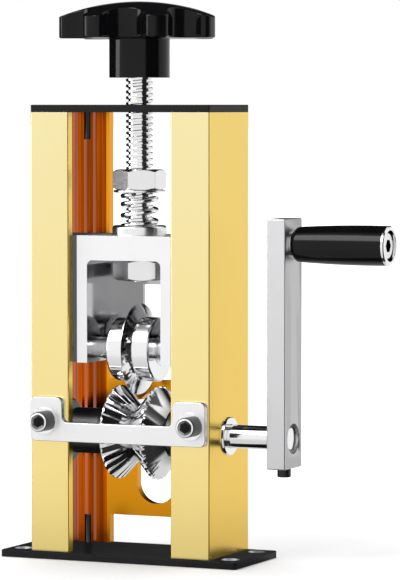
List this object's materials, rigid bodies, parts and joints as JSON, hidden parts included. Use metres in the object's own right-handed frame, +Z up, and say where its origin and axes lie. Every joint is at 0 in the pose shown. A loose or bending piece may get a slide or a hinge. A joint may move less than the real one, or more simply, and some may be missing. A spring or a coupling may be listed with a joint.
{
  "type": "hand crank wire stripper",
  "caption": "Bench wire stripper: crank-turned serrated roller under a round blade on a sprung carriage, set by a star knob and screw in a gold column frame.",
  "frame": {"origin": "centre of the base plate's four mounting holes, on its underside", "axes": "+X towards the crank, -Y towards the user, +Z up"},
  "size_m": [0.2033, 0.081, 0.2846],
  "materials": {
    "gold_anodised": "satin anodised aluminium",
    "black_plate": "black satin",
    "black_screw": "black oxide",
    "bright_steel": "polished",
    "roller_steel": "polished, cut serrations",
    "blade_steel": "ground and polished",
    "turned_steel": "fine turned",
    "screw_steel": "zinc plated thread",
    "spring_steel": "bright wire",
    "bar_metal": "satin",
    "carriage_metal": "satin, milled",
    "arm_metal": "satin",
    "black_knob": "glossy phenolic",
    "black_grip": "glossy phenolic",
    "black_housing": "black moulded",
    "brass": "turned"
  },
  "bodies": {
    "frame": {"base_plate": "black_plate", "base_screws": "black_screw", "body_frame": "gold_anodised", "top_plate": "black_plate", "top_plate_screws": "black_screw", "screw_bush": "brass", "front_bar": "bar_metal", "front_bar_screws": "black_screw", "front_bar_washers": "bright_steel", "bearing_housing_left": "black_housing", "bearing_housing_right": "black_housing", "housing_screws_left": "black_screw", "housing_screws_right": "black_screw", "wall_bush_left": "bright_steel", "wall_bush_right": "bright_steel"},
    "stage": {"spring_washer": "turned_steel", "spring": "spring_steel"},
    "lifting_screw": {"lead_screw": "screw_steel", "knob": "black_knob", "knob_insert": "brass", "upper_nut": "turned_steel", "lower_nut": "turned_steel"},
    "carriage": {"carriage": "carriage_metal", "spring_cup": "turned_steel", "blade_axle": "turned_steel", "axle_spacers": "turned_steel", "axle_grub_screws": "black_screw"},
    "blade_unit": {"blade": "blade_steel", "blade_drum_left": "blade_steel", "blade_drum_right": "blade_steel", "blade_bearing_left": "turned_steel", "blade_bearing_right": "turned_steel"},
    "crank": {"drive_shaft": "bright_steel", "feed_roller": "roller_steel", "roller_key": "turned_steel", "shaft_sleeve_left": "black_housing", "shaft_sleeve_right": "black_housing", "shaft_clip": "bright_steel", "crank_arm": "arm_metal", "crank_clamp_screw": "black_screw", "handle_bolt": "turned_steel", "handle_washer": "bright_steel"},
    "grip": {"handle_grip": "black_grip", "handle_end_ring": "bright_steel"}
  },
  "joints": [
    {"name": "screw_travel", "type": "slide", "parent": "frame", "child": "stage", "axis": [0, 0, 1], "range_m": [-0.002, 0.028]},
    {"name": "knob_turn", "type": "hinge", "parent": "stage", "child": "lifting_screw", "pos_m": [0, 0, 0.2458], "axis": [0, 0, 1], "range_deg": [-240.6, 3360.6]},
    {"name": "carriage_float", "type": "slide", "parent": "stage", "child": "carriage", "axis": [0, 0, 1], "range_m": [0, 0.005], "stiffness_N_per_m": 20000, "springref_m": -0.002, "deforming": ["spring"]},
    {"name": "blade_spin", "type": "hinge", "parent": "carriage", "child": "blade_unit", "pos_m": [0, 0, 0.107], "axis": [1, 0, 0], "continuous": true},
    {"name": "crank_turn", "type": "hinge", "parent": "frame", "child": "crank", "pos_m": [0, 0, 0.064], "axis": [1, 0, 0], "continuous": true},
    {"name": "grip_spin", "type": "hinge", "parent": "crank", "child": "grip", "pos_m": [0, 0, 0.162], "axis": [1, 0, 0], "continuous": true}
  ],
  "couplings": [
    {"joint": "knob_turn", "follows": "screw_travel", "rad_per_m": 2094.4}
  ]
}
